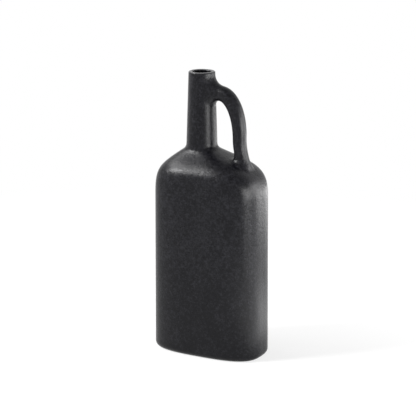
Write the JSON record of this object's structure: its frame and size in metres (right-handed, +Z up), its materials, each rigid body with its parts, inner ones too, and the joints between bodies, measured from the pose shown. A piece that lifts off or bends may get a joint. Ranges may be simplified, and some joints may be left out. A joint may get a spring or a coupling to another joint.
{
  "type": "jug vase",
  "caption": "Tall one-piece jug vase: flat oblong hollow body, arched shoulder, narrow round neck set to one side, looped handle from neck to shoulder.",
  "frame": {"origin": "on the ground under the middle of the body, in the plane of the foot ring", "axes": "+Z up to the rim, +X across the broad face towards the handle's side, -Y out of the front broad face"},
  "size_m": [0.1646, 0.097, 0.4],
  "materials": {
    "stoneware": "dark grey-black stoneware, satin matte with a fine graphite speckle"
  },
  "bodies": {
    "root": {"jug_vase": "stoneware"}
  },
  "joints": []
}
